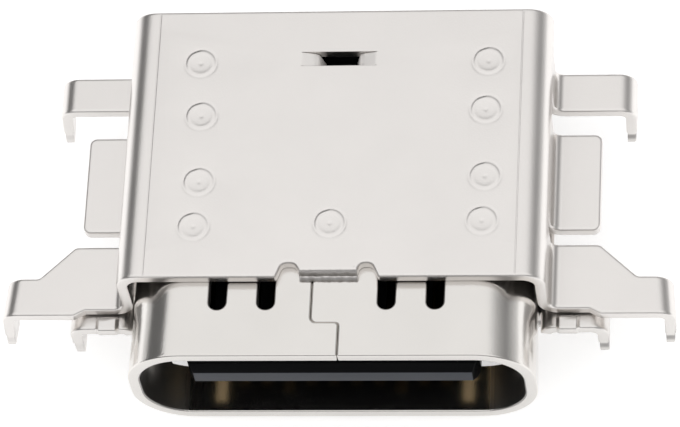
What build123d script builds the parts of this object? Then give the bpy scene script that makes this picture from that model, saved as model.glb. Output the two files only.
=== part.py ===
# Board-mounted socket for a reversible 24-contact plug, in a two-layer sheet-metal shell.
# Origin: middle of the plug opening in the mouth's front plane.
# +X is to the right seen from the front, +Y runs to the rear, +Z is up. Sizes are millimetres.
from build123d import *
from math import atan2, cos, degrees, radians, sqrt
import os

os.makedirs("parts", exist_ok=True)

# Plug opening and the tube around it
opening_width = 8.34
opening_height = 2.56
opening_corner = 1.03
tube_wall = 0.27
tube_length = 7.70
lip_radius = 0.05
seam_gap = 0.03
seam_front_x = 0.25
seam_rear_x = -0.35
seam_jog_y = 0.76

# Spring fingers in the tube's top and bottom walls
finger_offset = 1.83
finger_width = 0.66
finger_slot = 0.40
finger_front_y = 1.115
finger_reach = 2.30
finger_dip = 0.34

# Windows through the tube's lower corners
corner_window_x = 2.98
corner_window_width = 0.95
corner_window_y = 1.06
corner_window_length = 0.72

# Circuit board that the socket is let into
board_plane = -0.03
board_lap = 1.25

# Outer cover, one folded sheet
sheet = 0.25
cover_front_y = 1.77
cover_overhang = 0.15
cover_side_gap = 0.235
roof_bend = 0.53
skirt_depth = 0.65
foot_bend = 0.30

# Front wings of the cover, with their reaches out from the cover's wall
wing_reach = 2.725
wing_depth = 1.54
wing_step = 0.135
wing_step_reach = 0.855
wing_step_run = 0.25
wing_neck_reach = 1.115
wing_arm_reach = 1.905
wing_arm_depth = 0.90

# Flat soldering tabs and rear lugs of the cover, with the gaps between them
tab_gap = 0.35
tab_depth = 2.37
tab_reach = 1.035
tab_corner = 0.17
lug_gap = 0.63
lug_depth = 0.90
lug_reach = 1.79

# Legs that pass through the board
leg_bend = 0.40
leg_length = 1.25
leg_width = 0.55
leg_shoulder = 0.35
leg_tip_chamfer = 0.07

# Roof details of the cover
notch_offset = 0.865
notch_width = 0.49
notch_depth = 0.34
notch_flank = 71
notch_round = 0.12
break_recess = 0.145
break_root = 0.03
break_depth = 0.15
weld_radius = 0.36
weld_rise = 0.03
weld_left_x = -3.00
weld_right_x = 3.29
weld_rows = (1.28, 2.38, 4.00, 5.27)
lance_from_rear = 1.22
lance_length = 1.66
lance_width = 0.34
lance_opening = 0.91
lance_shoulder = 0.09
lance_drop = 0.62
lance_lean = 0.13
lance_bend = 0.30

# Lower bracket that cradles the tube
bracket_front_y = 1.45
cradle_front_y = 2.00
bracket_length = 4.60
arm_gap = 0.08
arm_depth = 0.90
arm_root_bend = 0.35
bracket_leg_reach = 1.255
boss_reach = 0.385
boss_width = 0.42
boss_length = 0.55
boss_corner = 0.08
seat_gap = 0.01

# Moulded tongue and housing
tongue_tip_y = 0.234
tongue_width = 6.38
tongue_thickness = 0.70
tongue_tip_chamfer = 0.15
tongue_corner_inset = 0.15
tongue_corner_run = 0.30
base_front_y = 4.65
base_width = 7.20
base_thickness = 1.12
rear_wall = 1.50
housing_overhang = 0.50
fit_gap = 0.02

# Steel plates in the housing
ground_plate_sheet = 0.12
ground_plate_width = 6.20
ground_plate_gap = 0.06
mid_plate_sheet = 0.15
mid_plate_setback = 0.406
mid_plate_clearance = 0.30
latch_notch_setback = 1.716
latch_notch_length = 0.80
latch_notch_depth = 0.25

# Contacts
contact_count = 12
contact_pitch = 0.50
contact_width = 0.25
contact_sheet = 0.12
contact_bend = 0.10
ground_lead = 0.45
power_lead = 0.65
signal_lead = 0.85
tail_length = 0.50
tail_drop_run = 0.15
rise_lead = 0.45
rise_run = 0.30
rise_height = 0.37
pin_setbacks = (1.20, 0.55)
carrier_margin = 0.22
carrier_height = 0.42

# Places that follow from the sizes above
tube_width = opening_width + 2 * tube_wall
tube_height = opening_height + 2 * tube_wall
tube_corner = opening_corner + tube_wall
board_edge_y = tube_length - board_lap
cavity_depth = tube_length - rear_wall
housing_rear_y = tube_length + housing_overhang
cover_rear_y = housing_rear_y + cover_overhang
cover_length = cover_rear_y - cover_front_y
cover_top = tube_height / 2 + sheet
wall_x = tube_width / 2 + cover_side_gap
skirt_bottom = cover_top - skirt_depth
flange_top = board_plane + sheet
leg_tip = board_plane - leg_length
wing_front_y = cover_front_y - wing_step
wing_rear_y = cover_front_y + wing_depth
tab_front_y = wing_rear_y + tab_gap
tab_rear_y = tab_front_y + tab_depth
lug_front_y = tab_rear_y + lug_gap
lug_rear_y = lug_front_y + lug_depth
lance_y = cover_rear_y - lance_from_rear
tongue_top = tongue_thickness / 2
mid_plate_front_y = tongue_tip_y + mid_plate_setback
latch_notch_y = tongue_tip_y + latch_notch_setback
rise_start_y = board_edge_y - rise_lead


# Plane across the socket at depth y, with x to the right and z up
def across(y):
    return Plane.XZ.offset(-y)


# The same bent line one sheet thickness to its right, or to its left where that is negative
def line_beside(points, radii, thickness):
    runs = [Vector(*end) - Vector(*start) for start, end in zip(points, points[1:])]
    sides = [Vector(run.Y, -run.X).normalized() for run in runs]
    moved = [Vector(*points[0]) + sides[0] * thickness]
    for point, before, after in zip(points[1:], sides, sides[1:]):
        moved.append(Vector(*point) + (before + after) * (thickness / (1 + before.dot(after))))
    moved.append(Vector(*points[-1]) + sides[-1] * thickness)
    turns = [1 if before.cross(after).Z > 0 else -1 for before, after in zip(runs, runs[1:])]
    return moved, [radius + turn * thickness for radius, turn in zip(radii, turns)]


# Outline of a sheet whose one face follows a bent line
def bent_sheet(points, radii, thickness):
    far_points, far_radii = line_beside(points, radii, thickness)
    with BuildLine() as outline:
        near = FilletPolyline(*points, radius=radii)
        far = FilletPolyline(*far_points, radius=far_radii)
        Line(near @ 0, far @ 0)
        Line(near @ 1, far @ 1)
    make_face(outline.edges())


# Leg section of a bent lug: a narrow pin at the front of the lug, with a tapered tip
def cut_leg(lug, leg_x, front_y, rear_y):
    with BuildSketch(Plane.YZ.offset(leg_x - leg_bend)) as waste:
        with Locations((front_y + leg_width, board_plane - leg_shoulder)):
            Rectangle(rear_y - front_y, 2 * leg_length, align=(Align.MIN, Align.MAX))
    extrude(waste.sketch, amount=2 * leg_bend, mode=Mode.SUBTRACT)
    tip = lug.faces().sort_by(Axis.Z)[0]
    chamfer(tip.edges(), leg_tip_chamfer)


# Inner tube: a round-cornered mouth rolled from sheet, closed by a stepped butt seam on top
with BuildPart() as tube_shell:
    with BuildSketch(Plane.XZ):
        RectangleRounded(tube_width, tube_height, tube_corner)
        RectangleRounded(opening_width, opening_height, opening_corner, mode=Mode.SUBTRACT)
    extrude(amount=-tube_length)
    mouth = tube_shell.faces().sort_by(Axis.Y)[0]
    fillet(mouth.outer_wire().edges(), lip_radius)

    # The lower half ends where the board begins
    with BuildSketch(across(board_edge_y)):
        with Locations((0, board_plane)):
            Rectangle(2 * tube_width, tube_height, align=(Align.CENTER, Align.MAX))
    extrude(amount=board_edge_y - 2 * tube_length, mode=Mode.SUBTRACT)

    # Butt seam
    with BuildSketch(Plane.XY):
        bent_sheet(
            [
                (seam_rear_x, 2 * tube_length),
                (seam_rear_x, seam_jog_y),
                (seam_front_x, seam_jog_y),
                (seam_front_x, -tube_length),
            ],
            [2 * seam_gap, 2 * seam_gap],
            -seam_gap,
        )
    extrude(amount=tube_height, mode=Mode.SUBTRACT)

    # Window over the roof's lance
    with BuildSketch(Plane.XY):
        with Locations((0, lance_y)):
            Rectangle(lance_length + sheet, lance_width + sheet)
    extrude(amount=tube_height, mode=Mode.SUBTRACT)

    # Windows through the lower corners
    with BuildSketch(Plane.XY):
        for side in (-1, 1):
            with Locations((side * (corner_window_x + corner_window_width / 2),
                            corner_window_y + corner_window_length / 2)):
                Rectangle(corner_window_width, corner_window_length)
    extrude(amount=-tube_height, mode=Mode.SUBTRACT)

    # Spring fingers, cut free on three sides and bent into the opening
    finger_root_y = finger_front_y + finger_slot / 2
    finger_cut = finger_width + 2 * finger_slot
    for wall_side in (-1, 1):
        with BuildSketch(Plane.XY):
            for side in (-1, 1):
                with Locations((side * finger_offset, finger_root_y)):
                    Rectangle(finger_cut, finger_reach + finger_slot, align=(Align.CENTER, Align.MIN))
                for edge in (-1, 1):
                    slot_x = side * finger_offset + edge * (finger_width + finger_slot) / 2
                    with Locations((slot_x, finger_root_y)):
                        Circle(finger_slot / 2)
        extrude(amount=wall_side * tube_height, mode=Mode.SUBTRACT)
        for side in (-1, 1):
            wall_z = wall_side * tube_height / 2
            low_z = wall_z - wall_side * finger_dip
            with BuildSketch(Plane.YZ.offset(side * finger_offset - finger_width / 2)):
                bent_sheet(
                    [
                        (finger_root_y - tube_wall, wall_z),
                        (finger_root_y + tube_wall, wall_z),
                        (finger_root_y + 0.80 * finger_reach, low_z),
                        (finger_root_y + finger_reach, low_z + wall_side * finger_dip / 3),
                    ],
                    [2 * tube_wall, 2 * tube_wall],
                    wall_side * tube_wall,
                )
            extrude(amount=finger_width)
tube_shell.part.label = "tube_shell"
export_step(tube_shell.part, "parts/tube_shell.step")


# Front wing of the cover, right side: stepped flange with a leg bent down at its end
with BuildPart() as wing:
    wing_x = wall_x + wing_reach
    step_x = wall_x + wing_step_reach
    neck_x = wall_x + wing_neck_reach
    arm_x = wall_x + wing_arm_reach
    with BuildSketch(across(wing_front_y)):
        bent_sheet(
            [(wall_x, skirt_bottom), (wall_x, flange_top), (wing_x, flange_top), (wing_x, leg_tip)],
            [foot_bend, leg_bend],
            sheet,
        )
    extrude(amount=wing_front_y - wing_rear_y)
    with BuildSketch(Plane.XY.offset(leg_tip)):
        with BuildLine():
            Polyline(
                (wall_x - 2 * sheet, cover_front_y),
                (step_x, cover_front_y),
                (step_x + wing_step_run, wing_front_y),
                (wing_x, wing_front_y),
                (wing_x, wing_front_y + wing_arm_depth),
                (arm_x, wing_front_y + wing_arm_depth),
                (neck_x, wing_rear_y),
                (wall_x - 2 * sheet, wing_rear_y),
                close=True,
            )
        make_face()
    extrude(amount=cover_top - leg_tip, mode=Mode.INTERSECT)
    neck_edges = wing.edges().filter_by(Axis.Z)
    fillet(neck_edges.filter_by_position(Axis.X, neck_x - 0.01, arm_x + 0.01), tab_corner)
    cut_leg(wing, wing_x, wing_front_y, wing_rear_y)


# Flat soldering tab of the cover, right side
with BuildPart() as tab:
    tab_x = wall_x + tab_reach
    with BuildSketch(across(tab_front_y)):
        bent_sheet(
            [(wall_x, skirt_bottom), (wall_x, flange_top), (tab_x, flange_top)],
            [foot_bend],
            sheet,
        )
    extrude(amount=tab_front_y - tab_rear_y)
    fillet(tab.edges().filter_by(Axis.Z).sort_by(Axis.X)[-2:], tab_corner)


# Rear lug of the cover, right side
with BuildPart() as lug:
    lug_x = wall_x + lug_reach
    with BuildSketch(across(lug_front_y)):
        bent_sheet(
            [(wall_x, skirt_bottom), (wall_x, flange_top), (lug_x, flange_top), (lug_x, leg_tip)],
            [foot_bend, leg_bend],
            sheet,
        )
    extrude(amount=lug_front_y - lug_rear_y)
    cut_leg(lug, lug_x, lug_front_y, lug_rear_y)


# Outer cover: roof and skirts, with the wings, tabs and lugs on both sides
with BuildPart() as cover_shell:
    with BuildSketch(across(cover_front_y)):
        bent_sheet(
            [(-wall_x, skirt_bottom), (-wall_x, cover_top), (wall_x, cover_top), (wall_x, skirt_bottom)],
            [roof_bend, roof_bend],
            sheet,
        )
    extrude(amount=-cover_length)
    for piece in (wing, tab, lug):
        add(piece.part)
        add(piece.part.mirror(Plane.YZ))

    # Two relief notches with round tops
    with BuildSketch(Plane.XY.offset(cover_top)) as notches:
        with Locations((-notch_offset, cover_front_y), (notch_offset, cover_front_y)):
            Trapezoid(notch_width, notch_depth, notch_flank, align=(Align.CENTER, Align.MIN))
        fillet(notches.vertices().group_by(Axis.Y)[-1], notch_round)
    extrude(amount=-2 * sheet, mode=Mode.SUBTRACT)

    # Break-off edge between them: half of the groove along which the carrier strip was snapped off
    with BuildSketch(Plane.YZ.offset(-notch_offset)):
        with BuildLine():
            Polyline(
                (cover_front_y - sheet, cover_top),
                (cover_front_y + break_recess, cover_top),
                (cover_front_y + break_root, cover_top - break_depth),
                (cover_front_y - sheet, cover_top - break_depth),
                close=True,
            )
        make_face()
    extrude(amount=2 * notch_offset, mode=Mode.SUBTRACT)

    # Lance over the housing's pocket: a slit strip of roof parted in the middle, its halves bent down
    with BuildSketch(Plane.XY.offset(cover_top)):
        with Locations((0, lance_y)):
            Rectangle(lance_length, lance_width)
    extrude(amount=-2 * sheet, mode=Mode.SUBTRACT)
    with BuildSketch(across(lance_y - lance_width / 2)):
        bent_sheet(
            [
                (-lance_length / 2 - sheet, cover_top),
                (-lance_length / 2, cover_top),
                (-lance_opening / 2, cover_top - lance_shoulder),
                (-lance_opening / 2 + lance_lean, cover_top - lance_drop),
            ],
            [lance_bend, lance_bend],
            sheet,
        )
        mirror(about=Plane.YZ)
    extrude(amount=-lance_width)

    # Weld spots that hold the roof to the tube
    weld_places = [(x, cover_front_y + row) for row in weld_rows for x in (weld_left_x, weld_right_x)]
    with BuildSketch(Plane.XY.offset(cover_top)):
        with Locations(*weld_places, (0, cover_front_y + weld_rows[0])):
            Circle(weld_radius)
    extrude(amount=weld_rise, taper=45)
cover_shell.part.label = "cover_shell"
export_step(cover_shell.part, "parts/cover_shell.step")


# Lower bracket: a cradle round the tube's lower half, with an arm and a leg on each side
with BuildPart() as lower_bracket:
    arm_top = board_plane - arm_gap
    bracket_leg_x = wall_x + bracket_leg_reach
    corner_x = tube_width / 2 - tube_corner
    corner_z = tube_corner - tube_height / 2
    cradle_radius = tube_corner + seat_gap
    root_z = arm_top - arm_root_bend
    root_reach = cradle_radius + arm_root_bend
    root_x = corner_x + sqrt(root_reach**2 - (root_z - corner_z)**2)
    meet_angle = degrees(atan2(root_z - corner_z, root_x - corner_x))
    meet_x = corner_x + cradle_radius * cos(radians(meet_angle))
    with BuildSketch(across(bracket_front_y)):
        with BuildLine():
            for depth in (0, sheet):
                low_z = corner_z - cradle_radius - depth
                Line((0, low_z), (corner_x, low_z))
                CenterArc((corner_x, corner_z), cradle_radius + depth, -90, 90 + meet_angle)
                CenterArc((root_x, root_z), arm_root_bend - depth, 180 + meet_angle, -90 - meet_angle)
                FilletPolyline(
                    (root_x, arm_top - depth),
                    (bracket_leg_x - depth, arm_top - depth),
                    (bracket_leg_x - depth, leg_tip),
                    radius=leg_bend - depth,
                )
            Line((0, corner_z - cradle_radius), (0, corner_z - cradle_radius - sheet))
            Line((bracket_leg_x, leg_tip), (bracket_leg_x - sheet, leg_tip))
        make_face()
        mirror(about=Plane.YZ)
    extrude(amount=-bracket_length)

    # The cradle starts behind the arms' front edges and runs on behind the arms
    with BuildSketch(Plane.XZ):
        Rectangle(2 * root_x, 2 * tube_height)
    extrude(amount=-cradle_front_y, mode=Mode.SUBTRACT)
    with BuildSketch(Plane.XY.offset(leg_tip)):
        for side in (-1, 1):
            with Locations((side * meet_x, bracket_front_y + arm_depth)):
                Rectangle(
                    bracket_leg_x,
                    bracket_length,
                    align=(Align.MIN if side > 0 else Align.MAX, Align.MIN),
                )
    extrude(amount=leg_length, mode=Mode.SUBTRACT)
    for side in (-1, 1):
        with BuildSketch(Plane.YZ.offset(side * bracket_leg_x - leg_bend)):
            with Locations((bracket_front_y + leg_width, board_plane - leg_shoulder)):
                Rectangle(arm_depth, 2 * leg_length, align=(Align.MIN, Align.MAX))
        extrude(amount=2 * leg_bend, mode=Mode.SUBTRACT)

    # Bosses that meet the underside of the cover's wings
    with BuildSketch(Plane.XY.offset(arm_top)):
        for side in (-1, 1):
            with Locations((side * (wall_x + boss_reach), bracket_front_y + sheet / 4 + boss_length / 2)):
                RectangleRounded(boss_width, boss_length, boss_corner)
    extrude(amount=arm_gap)
lower_bracket.part.label = "lower_bracket"
export_step(lower_bracket.part, "parts/lower_bracket.step")


# Contacts of one row, each a bent strip in its own groove
def contact_x(index):
    return (index - (contact_count - 1) / 2) * contact_pitch


# The outer contacts mate first, then the power contacts, then the rest
def contact_start(index):
    place = min(index, contact_count - 1 - index)
    if place == 0:
        return tongue_tip_y + ground_lead
    if place == 3:
        return tongue_tip_y + power_lead
    return tongue_tip_y + signal_lead


# Upper row: flush with the tongue's top, with tails that lie on the board behind the cover
upper_contacts = []
for index in range(contact_count):
    tail_top = board_plane + contact_sheet
    drop_y = housing_rear_y + contact_sheet
    with BuildPart() as contact:
        with BuildSketch(Plane.YZ.offset(contact_x(index) - contact_width / 2)):
            bent_sheet(
                [
                    (contact_start(index), tongue_top),
                    (drop_y, tongue_top),
                    (drop_y + tail_drop_run, tail_top),
                    (drop_y + tail_drop_run + tail_length, tail_top),
                ],
                [contact_bend + contact_sheet / 2, contact_bend],
                contact_sheet,
            )
        extrude(amount=contact_width)
    contact.part.label = f"upper_contact_{index + 1:02d}"
    export_step(contact.part, f"parts/{contact.part.label}.step")
    upper_contacts.append(contact.part)


# Lower row: flush with the tongue's underside, raised over the board's edge, with pins through it
lower_contacts = []
for index in range(contact_count):
    run_z = -tongue_top + rise_height
    pin_y = housing_rear_y - pin_setbacks[index % 2]
    with BuildPart() as contact:
        with BuildSketch(Plane.YZ.offset(contact_x(index) - contact_width / 2)):
            bent_sheet(
                [
                    (contact_start(index), -tongue_top),
                    (rise_start_y, -tongue_top),
                    (rise_start_y + rise_run, run_z),
                    (pin_y, run_z),
                    (pin_y, leg_tip),
                ],
                [contact_bend + contact_sheet / 2, contact_bend + contact_sheet, contact_bend],
                -contact_sheet,
            )
        extrude(amount=contact_width)
    contact.part.label = f"lower_contact_{index + 1:02d}"
    export_step(contact.part, f"parts/{contact.part.label}.step")
    lower_contacts.append(contact.part)


# Moulded bars that hold each row of contacts behind the plug opening
carrier_width = (contact_count - 1) * contact_pitch + contact_width + 2 * carrier_margin
lower_run_top = -tongue_top + rise_height + contact_sheet
split_z = (lower_run_top + tongue_top - contact_sheet) / 2
carrier_front_y = board_edge_y + carrier_margin

with BuildPart() as upper_contact_carrier:
    with BuildSketch(Plane.XY.offset(split_z)):
        with Locations((0, carrier_front_y)):
            Rectangle(carrier_width, housing_rear_y - carrier_front_y, align=(Align.CENTER, Align.MIN))
    extrude(amount=carrier_height)
    for contact in upper_contacts:
        add(contact, mode=Mode.SUBTRACT)
upper_contact_carrier.part.label = "upper_contact_carrier"
export_step(upper_contact_carrier.part, "parts/upper_contact_carrier.step")

with BuildPart() as lower_contact_carrier:
    with BuildSketch(Plane.XY.offset(board_plane)):
        with Locations((0, carrier_front_y)):
            Rectangle(carrier_width, housing_rear_y - carrier_front_y, align=(Align.CENTER, Align.MIN))
    extrude(amount=split_z - board_plane)
    for contact in lower_contacts:
        add(contact, mode=Mode.SUBTRACT)
lower_contact_carrier.part.label = "lower_contact_carrier"
export_step(lower_contact_carrier.part, "parts/lower_contact_carrier.step")


# Steel plate in the middle of the tongue, notched at its sides for the plug's latches
with BuildPart() as mid_plate:
    with BuildSketch(Plane.XY.offset(-mid_plate_sheet / 2)):
        with Locations((0, mid_plate_front_y)):
            Rectangle(
                tongue_width,
                cavity_depth - mid_plate_clearance - mid_plate_front_y,
                align=(Align.CENTER, Align.MIN),
            )
        for side in (-1, 1):
            with Locations((side * tongue_width / 2, latch_notch_y + latch_notch_length / 2)):
                Rectangle(2 * latch_notch_depth, latch_notch_length, mode=Mode.SUBTRACT)
    extrude(amount=mid_plate_sheet)
mid_plate.part.label = "mid_plate"
export_step(mid_plate.part, "parts/mid_plate.step")


# Ground plates over and under the thick root of the tongue, each with a lip at its front step
ground_plates = []
for name, face_side in (("upper_ground_plate", 1), ("lower_ground_plate", -1)):
    outer_z = face_side * (base_thickness / 2 + ground_plate_sheet)
    with BuildPart() as plate:
        with BuildSketch(Plane.YZ.offset(-ground_plate_width / 2)):
            bent_sheet(
                [
                    (base_front_y - ground_plate_sheet, face_side * (tongue_top + ground_plate_gap)),
                    (base_front_y - ground_plate_sheet, outer_z),
                    (cavity_depth, outer_z),
                ],
                [ground_plate_sheet],
                face_side * ground_plate_sheet,
            )
        extrude(amount=ground_plate_width)
    plate.part.label = name
    export_step(plate.part, f"parts/{name}.step")
    ground_plates.append(plate.part)


# Housing: tongue, its thick root, the wall that closes the tube and the block behind it
with BuildPart() as housing:
    with BuildSketch(Plane.XY.offset(-tongue_thickness / 2)):
        with BuildLine():
            Polyline(
                (0, tongue_tip_y),
                (tongue_width / 2 - tongue_corner_inset, tongue_tip_y),
                (tongue_width / 2, tongue_tip_y + tongue_corner_run),
                (tongue_width / 2, cavity_depth),
                (0, cavity_depth),
                close=True,
            )
        make_face()
        mirror(about=Plane.YZ)
    extrude(amount=tongue_thickness)
    tip_face = housing.faces().sort_by(Axis.Y)[0]
    chamfer(tip_face.edges().filter_by(Axis.X), tongue_tip_chamfer)
    with BuildSketch(across(base_front_y)):
        SlotOverall(base_width, base_thickness)
    extrude(amount=base_front_y - cavity_depth)
    with BuildSketch(across(cavity_depth)):
        RectangleRounded(
            opening_width - 2 * fit_gap,
            opening_height - 2 * fit_gap,
            opening_corner - fit_gap,
        )
    extrude(amount=cavity_depth - housing_rear_y)
    with BuildSketch(across(board_edge_y)):
        with Locations((0, board_plane)):
            Rectangle(2 * tube_width, tube_height, align=(Align.CENTER, Align.MAX))
    extrude(amount=board_edge_y - 2 * tube_length, mode=Mode.SUBTRACT)

    # Pocket under the roof's lance
    with BuildSketch(Plane.XY.offset(cover_top)):
        with Locations((0, lance_y)):
            Rectangle(lance_length + sheet, lance_width + sheet)
    extrude(amount=-(lance_drop + sheet / 2 + fit_gap), mode=Mode.SUBTRACT)

    # Side recesses that open the plate's latch notches
    with BuildSketch(Plane.XY.offset(-tongue_thickness)):
        for side in (-1, 1):
            with Locations((side * tongue_width / 2, latch_notch_y + latch_notch_length / 2)):
                Rectangle(3 * latch_notch_depth, latch_notch_length)
    extrude(amount=2 * tongue_thickness, mode=Mode.SUBTRACT)

    # Seats of the pieces that are moulded in
    for piece in upper_contacts + lower_contacts:
        add(piece, mode=Mode.SUBTRACT)
    for piece in (upper_contact_carrier, lower_contact_carrier, mid_plate):
        add(piece.part, mode=Mode.SUBTRACT)
housing.part.label = "housing"
export_step(housing.part, "parts/housing.step")
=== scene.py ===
from math import atan2, ceil, cos, exp, pi, radians, sin, tan

import bmesh
import bpy
from mathutils import Matrix, Vector, noise
from mathutils.geometry import delaunay_2d_cdt


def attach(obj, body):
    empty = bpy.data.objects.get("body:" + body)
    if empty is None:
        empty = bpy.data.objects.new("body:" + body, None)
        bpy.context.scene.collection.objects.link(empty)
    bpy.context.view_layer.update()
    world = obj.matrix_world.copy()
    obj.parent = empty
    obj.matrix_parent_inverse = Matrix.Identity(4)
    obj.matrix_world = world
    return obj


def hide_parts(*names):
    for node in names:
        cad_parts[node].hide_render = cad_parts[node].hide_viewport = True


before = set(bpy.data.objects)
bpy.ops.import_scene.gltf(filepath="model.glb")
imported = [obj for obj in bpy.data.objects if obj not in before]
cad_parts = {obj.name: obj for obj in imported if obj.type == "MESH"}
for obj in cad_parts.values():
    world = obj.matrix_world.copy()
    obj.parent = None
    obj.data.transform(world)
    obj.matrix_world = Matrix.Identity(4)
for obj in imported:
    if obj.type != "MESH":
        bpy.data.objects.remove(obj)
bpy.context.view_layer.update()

mm = 0.001   # all sizes below are in millimetres, and every mesh is scaled by this at the end
print("frame loaded")


# Camera, as fitted to the photograph

photoCamera = {
    "position": (11.997, -43.592, 92.529),
    "right": (0.993374, 0.046994, -0.104878),
    "up": (0.006352, 0.888728, 0.458391),
    "back": (0.114749, -0.456020, 0.882541),
    "focalPixels": 4753.94,
    "pictureWidth": 680,
    "sensor": 36.0,
}


def makeCamera(spec):
    camera = bpy.data.cameras.new("photoCamera")
    camera.sensor_fit = "HORIZONTAL"
    camera.sensor_width = spec["sensor"]
    camera.lens = spec["focalPixels"] * spec["sensor"] / spec["pictureWidth"]
    camera.clip_start = 0.001
    camera.clip_end = 10
    holder = bpy.data.objects.new("photoCamera", camera)
    turn = Matrix((spec["right"], spec["up"], spec["back"])).transposed().to_4x4()
    holder.matrix_world = Matrix.Translation(Vector(spec["position"]) * mm) @ turn
    bpy.context.scene.collection.objects.link(holder)
    bpy.context.scene.camera = holder


makeCamera(photoCamera)
print("camera placed")


# Folds: the line that a sheet's face follows across the socket, as straight and bent spans

def foldAlong(corners, radii):
    spans = []
    at = Vector(corners[0])
    reach = 0.0
    for index in range(1, len(corners)):
        corner = Vector(corners[index])
        run = (corner - at).normalized()
        heading = atan2(run.y, run.x)
        turn, cut = 0.0, 0.0
        if index < len(corners) - 1:
            ahead = (Vector(corners[index + 1]) - corner).normalized()
            turn = (atan2(ahead.y, ahead.x) - heading + pi) % (2 * pi) - pi
            cut = radii[index - 1] * tan(abs(turn) / 2)
        straight = (corner - at).length - cut
        spans.append({"start": reach, "length": straight, "at": at, "heading": heading, "turn": 0.0})
        reach += straight
        at = at + run * straight
        if turn:
            arc = radii[index - 1] * abs(turn)
            spans.append({"start": reach, "length": arc, "at": at, "heading": heading, "turn": turn})
            reach += arc
            at = corner + ahead * cut
    return spans


# Point at reach s along a fold, t out from the face; side 1 has the face on the left of the line
def foldPoint(spans, s, t, side):
    span = [part for part in spans if part["start"] <= s or part is spans[0]][-1]
    along = s - span["start"]
    heading = span["heading"]
    at = span["at"]
    if span["turn"] and along > span["length"]:
        along = span["length"]
    if span["turn"]:
        angle = span["turn"] * along / span["length"]
        radius = span["length"] / span["turn"]
        middle = at + Vector((-sin(heading), cos(heading))) * radius
        heading += angle
        at = middle - Vector((-sin(heading), cos(heading))) * radius
    else:
        at = at + Vector((cos(heading), sin(heading))) * along
    return at + Vector((-sin(heading), cos(heading))) * (side * t)


# Reaches at which a fold's bends are divided, every few degrees
def bendCuts(spans, step):
    cuts = []
    for span in spans:
        if span["turn"]:
            parts = max(2, ceil(abs(span["turn"]) / step))
            cuts += [span["start"] + span["length"] * k / parts for k in range(parts + 1)]
    return cuts


# Outlines: corners are (s, y) or (s, y, radius), with the sheet on the left of the line.
# An inset moves the line into the sheet, with the same number of points at every inset.
def roundCorners(corners, inset=0.0, step=0.03):
    outline = []
    count = len(corners)
    for index, corner in enumerate(corners):
        here = Vector(corner[:2])
        before = (Vector(corners[index - 1][:2]) - here).normalized()
        after = (Vector(corners[(index + 1) % count][:2]) - here).normalized()
        left = Vector((before.y, -before.x)) + Vector((-after.y, after.x))
        moved = here + left * (2 * inset / left.length_squared)
        if len(corner) < 3:
            outline.append(moved)
            continue
        turn = 1 if before.x * after.y - before.y * after.x < 0 else -1
        half = before.angle(after) / 2
        sweep = pi - 2 * half
        parts = max(3, ceil(sweep * corner[2] / step))
        radius = max(1e-4, corner[2] - turn * inset)
        centre = moved + (before + after).normalized() * (radius / sin(half))
        start = moved + before * (radius / tan(half)) - centre
        for k in range(parts + 1):
            outline.append(centre + Matrix.Rotation(turn * sweep * k / parts, 2) @ start)
    return outline


# Section of a punched edge: rolled over at the top, burred a little at the bottom
def edgeSection(thickness, rollOver, burr, levels=(), parts=4):
    section = [(1.6 * rollOver, 0)]
    for k in range(parts + 1):
        angle = pi / 2 * k / parts
        section.append((rollOver * (1 - sin(angle)), -rollOver * (1 - cos(angle))))
    section += [(0, level) for level in levels]
    for k in range(parts):
        angle = pi / 2 * k / (parts - 1)
        section.append((burr * (1 - cos(angle)), burr - thickness - burr * sin(angle)))
    return section


def insideOutline(point, outline):
    inside = False
    for index, corner in enumerate(outline):
        last = outline[index - 1]
        if (corner.y > point.y) != (last.y > point.y):
            crossing = last.x + (point.y - last.y) * (corner.x - last.x) / (corner.y - last.y)
            if point.x < crossing:
                inside = not inside
    return inside


# Flat face between an outline and its holes, with extra rings of points in it
def fillFace(mesh, outlines, level, rings=()):
    points, edges = [], []
    for ring in list(outlines) + list(rings):
        first = len(points)
        points += [Vector(point) for point in ring]
        edges += [(first + k, first + (k + 1) % len(ring)) for k in range(len(ring))]
    found, _, triangles, *_ = delaunay_2d_cdt(points, edges, [], 1, 1e-6)
    corners = [mesh.verts.new((point.x, point.y, level)) for point in found]
    for triangle in triangles:
        middle = sum((found[k] for k in triangle), Vector((0, 0))) / 3
        if not any(insideOutline(middle, hole) for hole in outlines[1:]):
            mesh.faces.new([corners[k] for k in triangle])


# A sheet in the flat: punched outline and holes, then cut along its bends and folded
def buildSheet(name, outer, holes, sections, place, sCuts=(), yCuts=(), rings=()):
    mesh = bmesh.new()
    outlines = [(outer, sections[0])] + [(hole, sections[-1]) for hole in holes]
    for outline, section in outlines:
        rows = []
        for inset, level in section:
            rows.append([mesh.verts.new((p.x, p.y, level)) for p in roundCorners(outline, inset)])
        for upper, lower in zip(rows, rows[1:]):
            for k in range(len(upper)):
                j = (k + 1) % len(upper)
                mesh.faces.new((upper[k], upper[j], lower[j], lower[k]))
    for end, extra in ((0, rings), (-1, ())):
        edges = [roundCorners(outline, section[end][0]) for outline, section in outlines]
        fillFace(mesh, edges, sections[0][end][1], extra)
    bmesh.ops.remove_doubles(mesh, verts=mesh.verts, dist=1e-5)
    for cuts, normal in ((sCuts, Vector((1, 0, 0))), (yCuts, Vector((0, 1, 0)))):
        for cut in cuts:
            everything = mesh.verts[:] + mesh.edges[:] + mesh.faces[:]
            bmesh.ops.bisect_plane(mesh, geom=everything, dist=1e-6, plane_co=normal * cut, plane_no=normal)
    bmesh.ops.recalc_face_normals(mesh, faces=mesh.faces)
    for vertex in mesh.verts:
        vertex.co = place(vertex.co.x, vertex.co.y, vertex.co.z)
    return finishMesh(name, mesh)


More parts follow.
